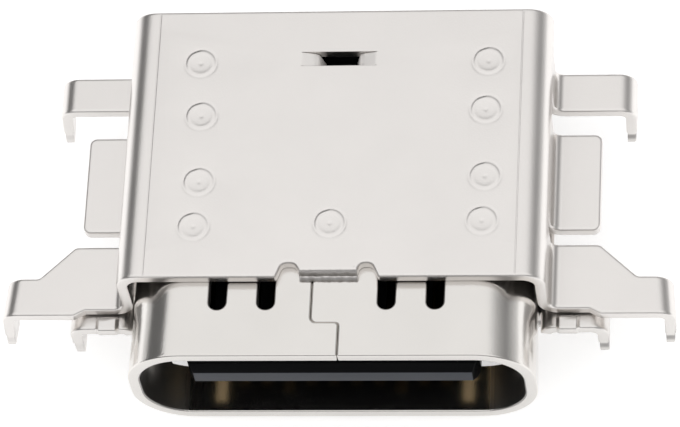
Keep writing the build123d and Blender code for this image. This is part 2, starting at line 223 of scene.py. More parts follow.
def finishMesh(name, mesh):
    bmesh.ops.scale(mesh, vec=(mm, mm, mm), verts=mesh.verts)
    data = bpy.data.meshes.new(name)
    mesh.to_mesh(data)
    mesh.free()
    data.shade_smooth()
    piece = bpy.data.objects.new(name, data)
    bpy.context.scene.collection.objects.link(piece)
    even = piece.modifiers.new("evenNormals", "WEIGHTED_NORMAL")
    even.mode = "FACE_AREA"
    even.weight = 80
    return piece


def dressPiece(piece, material, slot, *nodes):
    piece.data.materials.clear()
    piece.data.materials.append(material)
    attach(piece, "root")
    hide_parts(*nodes)


# Materials: the nodes that they share

def newMaterial(name):
    material = bpy.data.materials.new(name)
    material.use_nodes = True
    nodes = material.node_tree.nodes
    return material, nodes, material.node_tree.links, nodes["Principled BSDF"]


# A socket takes either another socket's output or a plain number
def feed(links, value, socket):
    if isinstance(value, bpy.types.NodeSocket):
        links.new(value, socket)
    else:
        socket.default_value = value


def fedBy(socket):
    return socket.links[0].from_socket


def mapRange(nodes, links, source, fromMin, fromMax, toMin, toMax):
    ramp = nodes.new("ShaderNodeMapRange")
    values = (fromMin, fromMax, toMin, toMax)
    for socket, value in zip(("From Min", "From Max", "To Min", "To Max"), values):
        ramp.inputs[socket].default_value = value
    links.new(source, ramp.inputs["Value"])
    return ramp.outputs["Result"]


def combine(nodes, links, operation, *values):
    node = nodes.new("ShaderNodeMath")
    node.operation = operation
    for value, socket in zip(values, node.inputs):
        feed(links, value, socket)
    return node.outputs[0]


def scaleColour(nodes, links, colour, share):
    node = nodes.new("ShaderNodeVectorMath")
    node.operation = "SCALE"
    links.new(colour, node.inputs[0])
    links.new(share, node.inputs["Scale"])
    return node.outputs[0]


def blend(nodes, links, factor, first, second, kind="MIX"):
    mix = nodes.new("ShaderNodeMix")
    mix.data_type = "RGBA"
    mix.blend_type = kind
    feed(links, factor, mix.inputs["Factor"])
    links.new(first, mix.inputs[6])
    links.new(second, mix.inputs[7])
    return mix.outputs[2]


def splitAxes(nodes, links, source):
    node = nodes.new("ShaderNodeSeparateXYZ")
    links.new(source, node.inputs[0])
    return node.outputs


def onObject(nodes):
    return nodes.new("ShaderNodeTexCoord").outputs["Object"]


def noiseOver(nodes, links, place, scale, detail=2):
    cloud = nodes.new("ShaderNodeTexNoise")
    cloud.inputs["Scale"].default_value = scale
    cloud.inputs["Detail"].default_value = detail
    links.new(place, cloud.inputs["Vector"])
    return cloud.outputs["Fac"]


def addGrain(nodes, links, shader, height, strength, depth):
    bump = nodes.new("ShaderNodeBump")
    bump.inputs["Strength"].default_value = strength
    bump.inputs["Distance"].default_value = depth * mm
    links.new(height, bump.inputs["Height"])
    links.new(bump.outputs["Normal"], shader.inputs["Normal"])


# Nickel plating on rolled sheet: a faint cloud in its tone and gloss, and a very fine grain.
# Faces that look to the front, the punched edges, are darker: partly their duller finish and partly painted
# shade. Each leg has a painted shade near its tip, standing for the floor's shadow seen in it.
plating = {
    "cloudScale": 600, "cloudDetail": 5, "cloudSpan": (0.3, 0.7), "cloudTones": (0.975, 1.015),
    "smoother": 0.02, "rougher": 0.03,
    "grainScale": 22000, "grainDetail": 3, "grainDepth": 0.02,
    "frontShadeFacing": (-0.55, -0.95), "frontShadeTone": 0.88,
    "tipShadeTop": (-0.84, -0.92), "tipShadeFoot": (-1.02, -1.14), "underTipShade": 0.15,
}


def platedSteel(name, colour, roughness, grain, tipShadeTones=None):
    material, nodes, links, shader = newMaterial(name)
    shader.inputs["Metallic"].default_value = 1.0
    place = onObject(nodes)
    cloud = noiseOver(nodes, links, place, plating["cloudScale"], plating["cloudDetail"])
    tone = nodes.new("ShaderNodeValToRGB")
    for index, stop in enumerate(tone.color_ramp.elements):
        stop.position = plating["cloudSpan"][index]
        stop.color = (*[min(1, c * plating["cloudTones"][index]) for c in colour], 1)
    links.new(cloud, tone.inputs["Fac"])
    facing = nodes.new("ShaderNodeNewGeometry")
    # Painted shade, partly the duller punched edge: faces that look to the front are darkened
    forward = splitAxes(nodes, links, facing.outputs["Normal"])["Y"]
    frontShade = mapRange(nodes, links, forward, *plating["frontShadeFacing"], 1, plating["frontShadeTone"])
    finish = scaleColour(nodes, links, tone.outputs["Color"], frontShade)
    if tipShadeTones:
        # Painted shade near each leg's tip, standing for the floor's shadow seen in it, with its own share on
        # each side
        at = splitAxes(nodes, links, place)
        side = mapRange(nodes, links, at["X"], -mm, mm, *tipShadeTones)
        top = mapRange(nodes, links, at["Z"], *[z * mm for z in plating["tipShadeTop"]], 0, 1)
        foot = mapRange(nodes, links, at["Z"], *[z * mm for z in plating["tipShadeFoot"]], 1, plating["underTipShade"])
        mark = combine(nodes, links, "MULTIPLY", top, foot)
        finish = blend(nodes, links, mark, finish, side, "MULTIPLY")
    links.new(finish, shader.inputs["Base Color"])
    least, most = roughness - plating["smoother"], roughness + plating["rougher"]
    links.new(mapRange(nodes, links, cloud, 0, 1, least, most), shader.inputs["Roughness"])
    fine = noiseOver(nodes, links, place, plating["grainScale"], plating["grainDetail"])
    addGrain(nodes, links, shader, fine, grain, plating["grainDepth"])
    return material


# Black moulding: fine matte skin of the mould, with painted light that makes the front of the tongue's tip
# greyer
mouldingFinishAndLight = {
    "dark": (0.0030, 0.0032, 0.0037, 1), "pale": (0.0042, 0.0045, 0.0051, 1),
    "specular": 0.07, "roughness": (0.32, 0.42),
    "cloudScale": 900, "skinScale": 40000, "skinStrength": 0.15, "skinDepth": 0.01,
    "tipLightReach": (0.7, 1.2), "tipPaintedLight": 16, "tipLightFacing": (-0.80, -0.95),
}


def blackMoulding(spec):
    material, nodes, links, shader = newMaterial("blackMoulding")
    shader.inputs["Specular IOR Level"].default_value = spec["specular"]
    place = onObject(nodes)
    cloud = noiseOver(nodes, links, place, spec["cloudScale"])
    tone = nodes.new("ShaderNodeValToRGB")
    tone.color_ramp.elements[0].color = spec["dark"]
    tone.color_ramp.elements[1].color = spec["pale"]
    links.new(cloud, tone.inputs["Fac"])
    facing = nodes.new("ShaderNodeNewGeometry")
    towards = splitAxes(nodes, links, facing.outputs["True Normal"])["Y"]
    depth = splitAxes(nodes, links, place)["Y"]
    # Painted light: faces at the front of the tongue's tip are made many times paler
    tipLightNear = mapRange(nodes, links, depth, *[y * mm for y in spec["tipLightReach"]], spec["tipPaintedLight"], 0)
    forward = mapRange(nodes, links, towards, *spec["tipLightFacing"], 0, 1)
    tipLight = combine(nodes, links, "MULTIPLY_ADD", tipLightNear, forward, 1)
    links.new(scaleColour(nodes, links, tone.outputs["Color"], tipLight), shader.inputs["Base Color"])
    links.new(mapRange(nodes, links, cloud, 0, 1, *spec["roughness"]), shader.inputs["Roughness"])
    skin = noiseOver(nodes, links, place, spec["skinScale"])
    addGrain(nodes, links, shader, skin, spec["skinStrength"], spec["skinDepth"])
    return material


# Cover plating is matt on the flaps of the lance, which were torn and bent
flapFinish = {"drop": 0.30, "reach": (0.66, 0.55), "depth": (0.02, 0.10), "rearEdge": 0.03,
              "rougher": 0.35, "metallic": 0.15}


def coverPlating(sheet, flaps):
    # Painted shade at the cover's leg tips: share 0.88 on the left, 0.42 on the right
    material = platedSteel("coverPlating", (0.835, 0.805, 0.780), 0.29, 0.10, (0.88, 0.42))
    nodes, links = material.node_tree.nodes, material.node_tree.links
    shader = nodes["Principled BSDF"]
    place = onObject(nodes)
    away = nodes.new("ShaderNodeVectorMath")
    away.operation = "DISTANCE"
    away.inputs[1].default_value = (0, sheet["lanceY"] * mm, (sheet["top"] - flaps["drop"]) * mm)
    links.new(place, away.inputs[0])
    at = splitAxes(nodes, links, place)
    rear = sheet["lanceY"] + sheet["lanceWidth"] / 2
    reaches = [reach * mm for reach in flaps["reach"]]
    levels = [(sheet["top"] - depth) * mm for depth in flaps["depth"]]
    near = mapRange(nodes, links, away.outputs["Value"], *reaches, 0, 1)
    below = mapRange(nodes, links, at["Z"], *levels, 0, 1)
    ahead = mapRange(nodes, links, at["Y"], (rear - flaps["rearEdge"]) * mm, rear * mm, 1, 0)
    torn = combine(nodes, links, "MULTIPLY", combine(nodes, links, "MULTIPLY", near, ahead), below)
    gloss = fedBy(shader.inputs["Roughness"])
    matt = combine(nodes, links, "MULTIPLY_ADD", torn, flaps["rougher"], gloss)
    links.new(matt, shader.inputs["Roughness"])
    links.new(mapRange(nodes, links, torn, 0, 1, 1, flaps["metallic"]), shader.inputs["Metallic"])
    return material


# Tube plating is polished outside and on the inner floor, and rougher in the inner corners, which painted
# shade also darkens
cornerFinishAndShade = {"from": -0.3, "to": -1.0, "rougher": 0.18, "tone": 0.45}


def tubePlating(corners):
    material = platedSteel("tubePlating", (0.775, 0.750, 0.720), 0.17, 0.08)
    nodes, links = material.node_tree.nodes, material.node_tree.links
    shader = nodes["Principled BSDF"]
    facing = nodes.new("ShaderNodeNewGeometry")
    at = splitAxes(nodes, links, onObject(nodes))
    towards = splitAxes(nodes, links, facing.outputs["True Normal"])
    # Below zero where a face looks back to the middle
    outward = combine(nodes, links, "MULTIPLY", at["X"], towards["X"])
    start, end = corners["from"] * mm, corners["to"] * mm
    # Painted shade: faces that look back to the middle are darkened
    innerShade = mapRange(nodes, links, outward, start, end, 1, corners["tone"])
    darker = scaleColour(nodes, links, fedBy(shader.inputs["Base Color"]), innerShade)
    links.new(darker, shader.inputs["Base Color"])
    rough = mapRange(nodes, links, outward, start, end, 0, corners["rougher"])
    gloss = combine(nodes, links, "ADD", fedBy(shader.inputs["Roughness"]), rough)
    links.new(gloss, shader.inputs["Roughness"])
    return material


# Gold plating: matt on the faces that look down, with painted shade inside the mouth
goldFinishAndShade = {"downFacing": (-0.6, -0.3), "roughness": (0.55, 0.18), "mouthShadeDepth": (4.0, 5.5)}


def goldPlating(spec, name, colour, mouthShadeTone, metallic=1.0):
    material = platedSteel(name, colour, 0.20, 0.06)
    nodes, links = material.node_tree.nodes, material.node_tree.links
    shader = nodes["Principled BSDF"]
    shader.inputs["Metallic"].default_value = metallic
    facing = nodes.new("ShaderNodeNewGeometry")
    upward = splitAxes(nodes, links, facing.outputs["True Normal"])["Z"]
    polish = mapRange(nodes, links, upward, *spec["downFacing"], *spec["roughness"])
    links.new(polish, shader.inputs["Roughness"])
    # Painted shade: towards the mouth the gold is darkened to the given share
    depth = splitAxes(nodes, links, onObject(nodes))["Y"]
    tone = mapRange(nodes, links, depth, *[y * mm for y in spec["mouthShadeDepth"]], mouthShadeTone, 1)
    finish = blend(nodes, links, 1, fedBy(shader.inputs["Base Color"]), tone, "MULTIPLY")
    links.new(finish, shader.inputs["Base Color"])
    return material


tubeMetal = tubePlating(cornerFinishAndShade)
# Painted shade at the bracket's leg tips: share 0.95 on the left, 0.42 on the right
bracketMetal = platedSteel("bracketPlating", (0.80, 0.775, 0.75), 0.28, 0.10, (0.95, 0.42))
innerMetal = platedSteel("innerSteel", (0.62, 0.61, 0.60), 0.32, 0.15)
mouthShadedGold = goldPlating(goldFinishAndShade, "mouthShadedContactGold", (0.90, 0.62, 0.30), 0.06)
# A copy of the gold painted brighter and made diffuse, as painted light on the two outermost lower contacts
paintedLitGold = goldPlating(goldFinishAndShade, "paintedLitGold", (1.0, 0.76, 0.44), 1.0, 0.0)
moulding = blackMoulding(mouldingFinishAndLight)
print("materials made")


# Cover

coverSheet = {
    "thickness": 0.25, "rollOver": 0.055, "lanceRoll": 0.012, "burr": 0.02,
    "top": 1.80, "wall": 4.675, "roofBend": 0.53, "footBend": 0.22, "legBend": 0.40,
    "flange": 0.22, "skirtEnd": 1.15, "skirtCorner": 0.08, "tipCorner": 0.07, "armCorner": 0.17,
    "stepCorner": 0.08, "frontCorner": 0.06, "rearCorner": 0.05, "breakCorner": 0.03,
    "front": 1.77, "rear": 8.35,
    "wingLeg": 7.41, "wingFront": 1.635, "wingRear": 3.31, "stepStart": 5.53, "stepEnd": 5.78,
    "arm": 6.58, "armRear": 2.545,
    "tabFront": 3.66, "tabRear": 6.03, "tabSide": 5.71, "tabCorner": 0.17,
    "lugLeg": 6.465, "lugFront": 6.66, "lugRear": 7.56,
    "legTip": -1.28, "legWidth": 0.55, "shoulder": -0.38, "tipStart": -0.80, "tipScale": 0.80,
    "leanFrom": -0.20, "wingSplay": 0.08, "splayRun": 0.40,
    # How far the break-off edge stands out, by depth under the roof, and its torn grain
    "breakEdge": 1.915, "breakReach": 0.07, "breakLevels": (-0.12, -0.135, -0.150),
    "breakProfile": ((-0.22, 0.155), (-0.150, 0.050), (-0.135, 0.010), (-0.12, 0.085), (-0.05, 0.0)),
    "tornDepth": 0.010, "tornGrain": ((14, 40, 3.0), (40, 90, 7.0)), "tornStrip": 0.03,
    "notchTop": 2.107, "notchInner": 0.632, "notchCorner": 0.15,
    "creaseX": 4.03, "creaseWidth": 0.016, "creaseDepth": 0.009,
    "lanceY": 7.13, "lanceLength": 1.66, "lanceWidth": 0.34,
    "lanceOpening": 0.91, "lanceShoulder": 0.09, "lanceLean": 0.13, "lanceDrop": 0.62,
    "lanceSlit": 0.002, "lanceBends": (0.30, 0.16),
}
# What the photo shows to differ between the cover's two sides
coverSides = {
    -1: {"neck": 5.84, "arm": 6.60, "lugFront": 6.705, "legLean": 0.09,
         "notchTopInner": 0.745, "notchTopOuter": 1.015, "notchOuter": 1.135},
    1: {"neck": 5.74, "arm": 6.56, "lugFront": 6.61, "legLean": -0.04, "tabSide": 5.735,
        "notchTopInner": 0.665, "notchTopOuter": 0.935, "notchOuter": 1.09},
}
weldMarks = {
    "radius": 0.36,
    "places": [(-3.00, 3.00), (-2.94, 4.09), (-2.98, 5.72), (-3.065, 7.04),
               (3.28, 3.105), (3.31, 4.19), (3.28, 5.83), (3.30, 7.04), (-0.02, 3.065)],
    "turns": 40,
    "circles": (0.02, 0.045, 0.07, 0.10, 0.14, 0.18, 0.21, 0.235,
                0.26, 0.285, 0.31, 0.33, 0.35, 0.37, 0.39, 0.42),
    # Each form's distance from the middle, width and height
    "rim": (0.280, 0.060, 0.0088), "pit": (0.0, 0.042, -0.0095), "dish": (0.0, 0.22, -0.0110),
    "groove": (0.345, 0.036, -0.0052), "sideGroove": -0.0080,
    "nick": (0.335, 0.030, -0.0100), "nickTowards": (-0.32, 0.95), "nickSpread": 0.28,
}


def coverFolds(spec):
    start = [(0, spec["top"]), (spec["wall"], spec["top"]), (spec["wall"], spec["flange"])]
    radii = [spec["roofBend"], spec["footBend"], spec["legBend"]]
    folds = {}
    for name, reach in (("wing", spec["wingLeg"]), ("lug", spec["lugLeg"])):
        folds[name] = foldAlong(start + [(reach, spec["flange"]), (reach, spec["legTip"])], radii)
    return folds


def hump(offset, width, height):
    return height * exp(-(offset / width) ** 2)


# Height of a weld mark's surface over the roof, at an offset from its middle
def weldHeight(marks, offset):
    distance = offset.length
    height = 0.0
    for form in ("rim", "pit", "dish", "groove"):
        away, width, rise = marks[form]
        if form == "groove":
            rise += marks["sideGroove"] * (offset.x / distance) ** 2
        height += hump(distance - away, width, rise)
    away, width, rise = marks["nick"]
    turned = offset.angle(Vector(marks["nickTowards"])) / marks["nickSpread"]
    return height + hump(distance - away, width, rise) * exp(-turned ** 2)


# From 0 to 1 with level ends
def slopeUp(share):
    share = min(1, max(0, share))
    return share * share * (3 - 2 * share)


def rampBetween(value, steps):
    for (x0, y0), (x1, y1) in zip(steps, steps[1:]):
        if value <= x1:
            return y0 + (y1 - y0) * max(0, value - x0) / (x1 - x0)
    return steps[-1][1]


def buildCover(spec, marks, sides):
    folds = coverFolds(spec)
    wing, lug = folds["wing"], folds["lug"]
    skirt = wing[2]["start"] + wing[2]["at"].y - spec["skirtEnd"]
    onFlange = wing[4]["start"] - wing[4]["at"].x
    onWingLeg = wing[6]["start"] + wing[6]["at"].y
    onLugLeg = lug[6]["start"] + lug[6]["at"].y
    corner, tip = spec["skirtCorner"], spec["tipCorner"]
    legRear = spec["wingFront"] + spec["legWidth"]

    def halfOutline(side):
        own = {**spec, **sides[side]}
        lugLegRear = own["lugFront"] + own["legWidth"]
        return [
            (own["notchInner"], own["breakEdge"], own["breakCorner"]),
            (own["notchTopInner"], own["notchTop"], own["notchCorner"]),
            (own["notchTopOuter"], own["notchTop"], own["notchCorner"]),
            (own["notchOuter"], own["front"], own["frontCorner"]),
            (onFlange + own["stepStart"], own["front"], own["stepCorner"]),
            (onFlange + own["stepEnd"], own["wingFront"], own["stepCorner"]),
            (onWingLeg - own["legTip"], own["wingFront"], tip),
            (onWingLeg - own["legTip"], legRear, tip),
            (onWingLeg - own["shoulder"], legRear, corner),
            (onWingLeg - own["shoulder"], own["armRear"], tip),
            (onFlange + own["arm"], own["armRear"], own["armCorner"]),
            (onFlange + own["neck"], own["wingRear"], own["armCorner"]),
            (skirt, own["wingRear"], corner),
            (skirt, own["tabFront"], corner),
            (onFlange + own["tabSide"], own["tabFront"], own["tabCorner"]),
            (onFlange + own["tabSide"], own["tabRear"], own["tabCorner"]),
            (skirt, own["tabRear"], corner),
            (skirt, own["lugFront"], corner),
            (onLugLeg - own["legTip"], own["lugFront"], tip),
            (onLugLeg - own["legTip"], lugLegRear, tip),
            (onLugLeg - own["shoulder"], lugLegRear, corner),
            (onLugLeg - own["shoulder"], own["lugRear"], tip),
            (skirt, own["lugRear"], corner),
            (skirt, own["rear"], own["rearCorner"]),
        ]

    left = [(-point[0], *point[1:]) for point in reversed(halfOutline(-1))]
    outer = halfOutline(1) + left

    # An H-shaped cut frees the lance's two flaps, which are then bent down
    half, wide, slit = spec["lanceLength"] / 2, spec["lanceWidth"] / 2, spec["lanceSlit"]
    front, rear = spec["lanceY"] - wide, spec["lanceY"] + wide
    cut = [
        (-half, front - slit), (-half, front + slit), (-slit, front + slit), (-slit, rear - slit),
        (-half, rear - slit), (-half, rear + slit), (half, rear + slit), (half, rear - slit),
        (slit, rear - slit), (slit, front + slit), (half, front + slit), (half, front - slit),
    ]
    # The flap's fold starts a little outside it, on the flat roof
    lead = 0.3
    bendAt = half - spec["lanceOpening"] / 2
    bends = [(-lead, 0), (0, 0), (bendAt, -spec["lanceShoulder"])]
    flap = foldAlong(bends + [(bendAt + spec["lanceLean"], -spec["lanceDrop"])], spec["lanceBends"])

    def place(s, y, t):
        side = 1 if s > 0 else -1
        fold = lug if y > (spec["tabRear"] + spec["lugFront"]) / 2 else wing
        if abs(s) < half and abs(y - spec["lanceY"]) < wide:
            at = foldPoint(flap, lead + half - abs(s), t, 1)
            return Vector((side * (half - at.x), y, spec["top"] + at.y))
        if abs(s) < spec["notchInner"] and y < spec["breakEdge"] + spec["breakReach"] and t < -0.001:
            rough = 0.0
            for along, down, layer in spec["tornGrain"]:
                rough += noise.noise(Vector((s * along, t * down, layer)))
            y += spec["tornDepth"] * rough - rampBetween(t, spec["breakProfile"])
        if t > -0.001:
            for middle in marks["places"]:
                offset = Vector((s, y)) - Vector(middle)
                if 0 < offset.length < 1.3 * marks["radius"]:
                    t += weldHeight(marks, offset)
            t += hump(abs(s) - spec["creaseX"], spec["creaseWidth"], -spec["creaseDepth"])
        at = foldPoint(fold, abs(s), t, 1)
        if at.x > spec["arm"]:
            share = min(1, (at.x - spec["arm"]) / spec["splayRun"])
            at.x -= spec["wingSplay"] * (y - spec["wingFront"]) * share
        lean = sides[side]["legLean"] * max(0, spec["leanFrom"] - at.y)
        at.x += lean
        if at.y < spec["tipStart"]:
            legX = (spec["wingLeg"] if fold is wing else spec["lugLeg"]) - spec["thickness"] / 2 + lean
            if fold is wing:
                legX -= spec["wingSplay"] * (y - spec["wingFront"])
            at.x = legX + (at.x - legX) * spec["tipScale"]
        return Vector((side * at.x, y, at.y))

    rings = []
    for x, y in marks["places"]:
        for radius in marks["circles"]:
            angles = [2 * pi * k / marks["turns"] for k in range(marks["turns"])]
            rings.append([(x + radius * cos(angle), y + radius * sin(angle)) for angle in angles])
    reaches = bendCuts(wing, radians(7)) + bendCuts(lug, radians(7))
    reaches += [spec["creaseX"] + spec["creaseWidth"] * k for k in (-2, -1, -0.5, 0, 0.5, 1, 2)]
    # Close cuts where the tips narrow, and fine strips for the torn edge
    for onLeg in (onWingLeg, onLugLeg):
        reaches += [onLeg - spec["tipStart"] - 0.01, onLeg - spec["tipStart"] + 0.005]
    reaches += [k * spec["tornStrip"] for k in range(1, 28)]
    sCuts = sorted(set(side * reach for reach in reaches for side in (-1, 1)))
    sections = [edgeSection(spec["thickness"], roll, spec["burr"], spec["breakLevels"])
                for roll in (spec["rollOver"], spec["lanceRoll"])]
    return buildSheet("cover", outer, [cut], sections, place, sCuts, rings=rings)


cover = buildCover(coverSheet, weldMarks, coverSides)
dressPiece(cover, coverPlating(coverSheet, flapFinish), "plated_cover", "cover_shell")
print("cover folded")


# Inner tube

tubeSheet = {
    "thickness": 0.27, "rollOver": 0.045, "burr": 0.035,
    "side": 4.44, "height": 1.55, "corner": 1.30, "length": 7.70,
    "seamGap": 0.004, "seamFront": 0.25, "seamRear": -0.36, "seamJog": 0.80,
    "mouthCorner": 0.03, "jogCorners": (0.08, 0.14), "rearCorner": 0.05, "boardCorner": 0.08,
    "fingerX": {-1: 1.875, 1: 1.79}, "fingerWidth": 0.69, "fingerSlot": 0.365, "fingerFront": 1.125,
    "fingerReach": 2.30, "fingerDip": 0.34, "fingerCorner": 0.10, "dipShare": 0.8,
    "windowX": 2.98, "windowWidth": 0.95, "windowY": 1.11, "windowLength": 0.67, "windowCorner": 0.03,
    "waist": 0.035, "waistStart": 0.05, "waistEnd": 1.50,
    "boardEdge": 6.45, "board": -0.03, "lanceY": 7.13, "lanceWindow": (1.91, 0.59),
    "windowRound": 0.05,
}


def buildTube(spec):
    fold = foldAlong(
        [(0, -spec["height"]), (spec["side"], -spec["height"]), (spec["side"], spec["height"]),
         (0, spec["height"])],
        [spec["corner"], spec["corner"]],
    )
    whole = fold[-1]["start"] + fold[-1]["length"]
    gap = spec["seamGap"]

    def seamSide(side):
        front, rear = spec["seamFront"], spec["seamRear"]
        onSeam = whole - side * rear - gap
        windowEdge = whole - spec["lanceWindow"][0] / 2
        windowFront = spec["lanceY"] - spec["lanceWindow"][1] / 2
        windowRear = spec["lanceY"] + spec["lanceWindow"][1] / 2
        jog = spec["seamJog"] - side * gap
        small = spec["windowRound"]
        return [
            (whole - side * front - gap, 0, spec["mouthCorner"]),
            (whole - side * front - gap, jog, spec["jogCorners"][0]),
            (onSeam, jog, spec["jogCorners"][1]),
            (onSeam, windowFront, small), (windowEdge, windowFront, small),
            (windowEdge, windowRear, small), (onSeam, windowRear, small),
            (onSeam, spec["length"], spec["rearCorner"]),
        ]

    # Reach at which the wall passes the board's plane
    boardReach = fold[2]["start"] + spec["board"] - fold[2]["at"].y
    rear = [(boardReach, spec["length"], spec["rearCorner"]),
            (boardReach, spec["boardEdge"], spec["boardCorner"])]
    right = seamSide(1) + rear
    left = seamSide(-1) + rear
    outer = right + [(-point[0], *point[1:]) for point in reversed(left)]

    # U-shaped openings round the spring fingers, on both walls
    width, slot, front = spec["fingerWidth"] / 2, spec["fingerSlot"], spec["fingerFront"]
    root = front + slot / 2
    tip = root + spec["fingerReach"]
    holes = []
    fingers = [side * spec["fingerX"][side] for side in (-1, 1)]
    fingers += [side * (whole - spec["fingerX"][side]) for side in (-1, 1)]
    slotEnd, corner = slot / 2 - 0.01, spec["fingerCorner"]
    for middle in fingers:
        holes.append([
            (middle - width - slot, front, slotEnd), (middle - width - slot, tip + slot, corner),
            (middle + width + slot, tip + slot, corner), (middle + width + slot, front, slotEnd),
            (middle + width, front, slotEnd), (middle + width, tip, corner),
            (middle - width, tip, corner), (middle - width, front, slotEnd),
        ])
    for side in (-1, 1):
        near, far = spec["windowX"], spec["windowX"] + spec["windowWidth"]
        low, high = sorted((side * near, side * far))
        y0, y1 = spec["windowY"], spec["windowY"] + spec["windowLength"]
        turn = spec["windowCorner"]
        holes.append([(low, y0, turn), (low, y1, turn), (high, y1, turn), (high, y0, turn)])

    # A finger dips into the tube along its length, and its end comes back up
    def dip(y):
        lowest = spec["dipShare"] * spec["fingerReach"]
        run = min(max((y - root) / lowest, 0), 1)
        back = max(y - root - lowest, 0) / (spec["fingerReach"] - lowest)
        return spec["fingerDip"] * (run * run * (1.6 - 0.6 * run) - back * back / 3)

    def place(s, y, t):
        for middle in fingers:
            if abs(s - middle) < width + slot / 2 and root < y < tip + slot / 2:
                t -= dip(y)
        at = foldPoint(fold, abs(s), t, -1)
        narrow = slopeUp((y - spec["waistStart"]) / (spec["waistEnd"] - spec["waistStart"]))
        at.x -= spec["waist"] * narrow * (at.x / spec["side"]) ** 4
        return Vector((at.x if s > 0 else -at.x, y, at.y))

    sCuts = [side * cut for cut in bendCuts(fold, radians(5)) for side in (-1, 1)]
    yCuts = [root + spec["fingerReach"] * k / 8 for k in range(9)]
    yCuts += [spec["waistStart"] + (spec["waistEnd"] - spec["waistStart"]) * k / 6 for k in range(7)]
    sections = [edgeSection(spec["thickness"], spec["rollOver"], spec["burr"])]
    return buildSheet("tube", outer, holes, sections, place, sCuts, yCuts)


tube = buildTube(tubeSheet)
dressPiece(tube, tubeMetal, "plated_tube", "tube_shell")
print("tube rolled")


# Lower bracket

bracketSheet = {
    "thickness": 0.25, "rollOver": 0.05, "burr": 0.02,
    "cornerX": 3.14, "cornerZ": -0.25, "cradle": 1.31,
    "armTop": -0.11, "armRoot": 0.35, "leg": 5.93, "legBend": 0.40,
    "legTip": -1.28, "front": 1.45, "cradleFront": 2.00, "armRear": 2.35, "rear": 6.05,
    "legWidth": 0.55, "shoulder": -0.38, "tipStart": -0.82, "tipScale": 0.82,
    "armCorner": 0.10, "frontCorner": 0.05, "rearCorner": 0.15, "legCorner": 0.08, "tipCorner": 0.07,
    "bossX": 5.06, "bossWidth": 0.42, "bossLength": 0.30, "bossRise": 0.09,
    "bossSlope": 0.08, "bossBulge": 0.07, "bulgeReach": 0.12,
}


def bracketFold(spec):
    rise = spec["armTop"] - spec["armRoot"] - spec["cornerZ"]
    reach = spec["cradle"] + spec["armRoot"]
    rootX = spec["cornerX"] + (reach * reach - rise * rise) ** 0.5
    lean = atan2(rise, rootX - spec["cornerX"])
    low = spec["cornerZ"] - spec["cradle"]
    spans = [{"start": 0.0, "length": spec["cornerX"], "at": Vector((0, low)), "heading": 0.0, "turn": 0.0}]
    reachNow = spec["cornerX"]
    cradleTurn = pi / 2 + lean
    spans.append({"start": reachNow, "length": spec["cradle"] * cradleTurn, "heading": 0.0,
                  "at": Vector((spec["cornerX"], low)), "turn": cradleTurn})
    reachNow += spec["cradle"] * cradleTurn
    meet = Vector((spec["cornerX"], spec["cornerZ"])) + Vector((cos(lean), sin(lean))) * spec["cradle"]
    spans.append({"start": reachNow, "length": spec["armRoot"] * cradleTurn, "heading": cradleTurn,
                  "at": meet, "turn": -cradleTurn})
    reachNow += spec["armRoot"] * cradleTurn
    arm = foldAlong([(rootX, spec["armTop"]), (spec["leg"], spec["armTop"]), (spec["leg"], spec["legTip"])],
                    [spec["legBend"]])
    for span in arm:
        spans.append({**span, "start": span["start"] + reachNow})
    return spans


def buildBracket(spec):
    fold = bracketFold(spec)
    cradleEnd = fold[2]["start"]
    onArm = fold[3]["start"] - fold[3]["at"].x
    onLeg = fold[5]["start"] + fold[5]["at"].y
    legRear = spec["front"] + spec["legWidth"]
    right = [
        (cradleEnd, spec["cradleFront"], spec["armCorner"]),
        (cradleEnd, spec["front"], spec["frontCorner"]),
        (onLeg - spec["legTip"], spec["front"], spec["tipCorner"]),
        (onLeg - spec["legTip"], legRear, spec["tipCorner"]),
        (onLeg - spec["shoulder"], legRear, spec["legCorner"]),
        (onLeg - spec["shoulder"], spec["armRear"], spec["tipCorner"]),
        (cradleEnd, spec["armRear"], spec["armCorner"]),
        (cradleEnd, spec["rear"], spec["rearCorner"]),
    ]
    left = [(-point[0], *point[1:]) for point in reversed(right)]
    outer = right + left
    bossReach = onArm + spec["bossX"]

    def place(s, y, t):
        across = slopeUp((spec["bossWidth"] / 2 + 0.05 - abs(abs(s) - bossReach)) / spec["bossSlope"])
        depth = slopeUp((spec["front"] + spec["bossLength"] - y) / spec["bossSlope"])
        bulge = (spec["front"] + spec["bulgeReach"] - y) / spec["bulgeReach"]
        t += spec["bossRise"] * across * depth
        y -= spec["bossBulge"] * across * depth * min(1, max(0, bulge))
        at = foldPoint(fold, abs(s), t, 1)
        if at.x > spec["bossX"] and at.y < spec["tipStart"]:
            legX = spec["leg"] - spec["thickness"] / 2
            at.x = legX + (at.x - legX) * spec["tipScale"]
        return Vector((at.x if s > 0 else -at.x, y, at.y))

    reaches = bendCuts(fold, radians(6))
    reaches += [onLeg - spec["tipStart"] - 0.01, onLeg - spec["tipStart"] + 0.005]
    # Close cuts on the boss's slopes and its bulge
    strip = spec["bossSlope"] / 5
    for side in (-1, 1):
        reaches += [bossReach + spec["bossWidth"] / 2 * side + k * strip for k in range(-4, 5)]
    sCuts = [side * cut for cut in reaches for side in (-1, 1)]
    yCuts = [spec["front"] + spec["bossLength"] - k * strip for k in range(6)]
    yCuts += [spec["front"] + spec["bulgeReach"] * k / 6 for k in range(4, 7)]
    sections = [edgeSection(spec["thickness"], spec["rollOver"], spec["burr"])]
    return buildSheet("bracket", outer, [], sections, place, sCuts, yCuts)


bracket = buildBracket(bracketSheet)
dressPiece(bracket, bracketMetal, "plated_bracket", "lower_bracket")
print("bracket folded")


# Pieces whose solids are right as they are: their edges are eased and they get their finish

